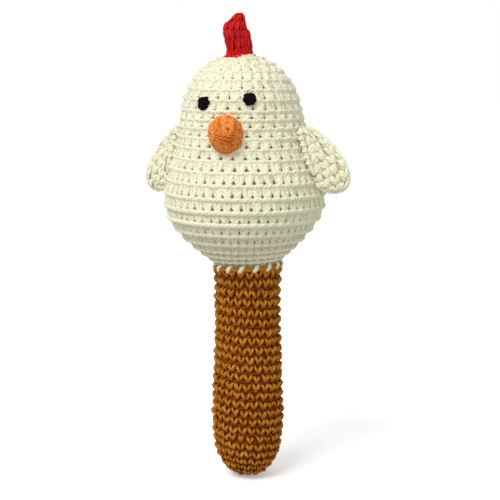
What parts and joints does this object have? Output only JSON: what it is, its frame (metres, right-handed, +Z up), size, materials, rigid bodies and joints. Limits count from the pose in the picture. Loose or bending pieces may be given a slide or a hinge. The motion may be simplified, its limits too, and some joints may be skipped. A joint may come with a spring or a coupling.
{
  "type": "crocheted rattle",
  "caption": "Crocheted hand rattle: a stuffed cream chicken with comb, beak, eyes and soft wings, sewn on a stuffed golden-brown handle, with a capsule of loose beads inside.",
  "frame": {"origin": "middle of the small flat at the end of the handle", "axes": "+Z up along the handle towards the comb, -Y the way the face looks, +X the toy's own left"},
  "size_m": [0.0886, 0.0663, 0.1891],
  "materials": {
    "cream_yarn": "matt cotton yarn",
    "brown_yarn": "matt cotton yarn",
    "red_yarn": "matt cotton yarn",
    "orange_yarn": "matt cotton yarn",
    "black_yarn": "matt cotton yarn",
    "filling": "loose polyester fibre",
    "capsule": "smooth moulded",
    "bead": "smooth moulded"
  },
  "bodies": {
    "rattle": {"handle_cover": "brown_yarn", "handle_filling": "filling", "body_cover": "cream_yarn", "body_filling_lower": "filling", "body_filling_upper": "filling", "rattle_cup": "capsule", "rattle_lid": "capsule", "beak_cover": "orange_yarn", "beak_filling": "filling", "beak_stitches": "orange_yarn", "left_eye": "black_yarn", "right_eye": "black_yarn", "left_wing_stitches": "cream_yarn", "right_wing_stitches": "cream_yarn", "comb_stitches": "red_yarn", "neck_stitches": "cream_yarn"},
    "left_wing": {"left_wing": "cream_yarn"},
    "right_wing": {"right_wing": "cream_yarn"},
    "comb": {"comb": "red_yarn"},
    "bead_1": {"bead_1": "bead"},
    "bead_2": {"bead_2": "bead"},
    "bead_3": {"bead_3": "bead"},
    "bead_4": {"bead_4": "bead"},
    "bead_5": {"bead_5": "bead"},
    "bead_6": {"bead_6": "bead"}
  },
  "joints": [
    {"name": "left_wing_flap", "type": "hinge", "parent": "rattle", "child": "left_wing", "pos_m": [0.02474, -0.00238, 0.14254], "axis": [-0.3062, 0.023, 0.9517], "range_deg": [-45, 45], "stiffness_Nm_per_rad": 0.002},
    {"name": "right_wing_flap", "type": "hinge", "parent": "rattle", "child": "right_wing", "pos_m": [-0.02918, 0.00328, 0.14127], "axis": [0.2187, -0.0322, 0.9753], "range_deg": [-45, 45], "stiffness_Nm_per_rad": 0.002},
    {"name": "comb_bend", "type": "hinge", "parent": "rattle", "child": "comb", "pos_m": [-0.00377, 0.00049, 0.17342], "axis": [0.1906, 0.9816, 0.0087], "range_deg": [-35, 35], "stiffness_Nm_per_rad": 0.002},
    {"name": "bead_1_slide", "type": "slide", "parent": "rattle", "child": "bead_1", "axis": [-0.0454, 0, 0.999], "range_m": [0, 0.01]},
    {"name": "bead_2_slide", "type": "slide", "parent": "rattle", "child": "bead_2", "axis": [-0.0454, 0, 0.999], "range_m": [0, 0.01]},
    {"name": "bead_3_slide", "type": "slide", "parent": "rattle", "child": "bead_3", "axis": [-0.0454, 0, 0.999], "range_m": [0, 0.01]},
    {"name": "bead_4_slide", "type": "slide", "parent": "rattle", "child": "bead_4", "axis": [-0.0454, 0, 0.999], "range_m": [0, 0.01]},
    {"name": "bead_5_slide", "type": "slide", "parent": "rattle", "child": "bead_5", "axis": [-0.0454, 0, 0.999], "range_m": [0, 0.01]},
    {"name": "bead_6_slide", "type": "slide", "parent": "rattle", "child": "bead_6", "axis": [-0.0454, 0, 0.999], "range_m": [0, 0.01]}
  ]
}
